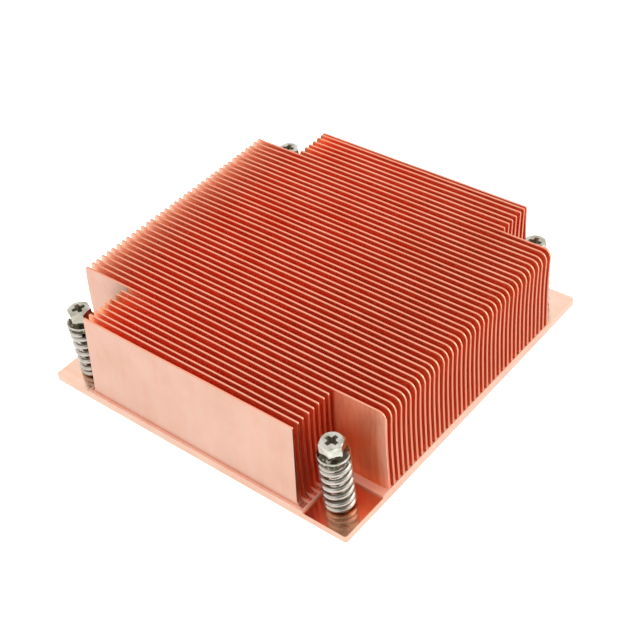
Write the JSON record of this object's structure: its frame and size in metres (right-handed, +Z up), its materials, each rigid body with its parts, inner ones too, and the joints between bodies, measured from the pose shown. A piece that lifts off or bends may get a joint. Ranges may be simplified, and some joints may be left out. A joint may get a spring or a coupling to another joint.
{
  "type": "passive server cpu heatsink",
  "caption": "Low passive copper heatsink with thin skived fins on a square plate and captive sprung mounting screws in its corner pockets.",
  "frame": {"origin": "centre of the flat underside of the plate, the face that meets the processor", "axes": "+Z up, away from the processor; +X along the fins; +Y across the fins, the way their tops curl"},
  "size_m": [0.0886, 0.0891, 0.0286],
  "materials": {
    "copper": "bare copper, mill finish with brushed outer faces",
    "nickel_screw": "nickel plated steel, bright",
    "spring_steel": "nickel plated spring wire",
    "ring_steel": "plated spring steel strip"
  },
  "bodies": {
    "block": {"heatsink_block": "copper", "spring_front_left": "spring_steel", "spring_front_right": "spring_steel", "spring_back_left": "spring_steel", "spring_back_right": "spring_steel"},
    "front_left_retainer": {"retaining_ring_front_left": "ring_steel"},
    "front_left_screw": {"captive_screw_front_left": "nickel_screw"},
    "front_right_retainer": {"retaining_ring_front_right": "ring_steel"},
    "front_right_screw": {"captive_screw_front_right": "nickel_screw"},
    "back_left_retainer": {"retaining_ring_back_left": "ring_steel"},
    "back_left_screw": {"captive_screw_back_left": "nickel_screw"},
    "back_right_retainer": {"retaining_ring_back_right": "ring_steel"},
    "back_right_screw": {"captive_screw_back_right": "nickel_screw"}
  },
  "joints": [
    {"name": "front_left_press", "type": "slide", "parent": "block", "child": "front_left_retainer", "axis": [0, 0, -1], "range_m": [0, 0.0045], "stiffness_N_per_m": 15000, "springref_m": -0.001, "deforming": ["spring_front_left"]},
    {"name": "front_left_turn", "type": "hinge", "parent": "front_left_retainer", "child": "front_left_screw", "pos_m": [-0.0375, -0.0375, 0], "axis": [0, 0, 1], "continuous": true},
    {"name": "front_right_press", "type": "slide", "parent": "block", "child": "front_right_retainer", "axis": [0, 0, -1], "range_m": [0, 0.0045], "stiffness_N_per_m": 15000, "springref_m": -0.001, "deforming": ["spring_front_right"]},
    {"name": "front_right_turn", "type": "hinge", "parent": "front_right_retainer", "child": "front_right_screw", "pos_m": [0.0375, -0.0375, 0], "axis": [0, 0, 1], "continuous": true},
    {"name": "back_left_press", "type": "slide", "parent": "block", "child": "back_left_retainer", "axis": [0, 0, -1], "range_m": [0, 0.0045], "stiffness_N_per_m": 15000, "springref_m": -0.001, "deforming": ["spring_back_left"]},
    {"name": "back_left_turn", "type": "hinge", "parent": "back_left_retainer", "child": "back_left_screw", "pos_m": [-0.0375, 0.0375, 0], "axis": [0, 0, 1], "continuous": true},
    {"name": "back_right_press", "type": "slide", "parent": "block", "child": "back_right_retainer", "axis": [0, 0, -1], "range_m": [0, 0.0045], "stiffness_N_per_m": 15000, "springref_m": -0.001, "deforming": ["spring_back_right"]},
    {"name": "back_right_turn", "type": "hinge", "parent": "back_right_retainer", "child": "back_right_screw", "pos_m": [0.0375, 0.0375, 0], "axis": [0, 0, 1], "continuous": true}
  ]
}
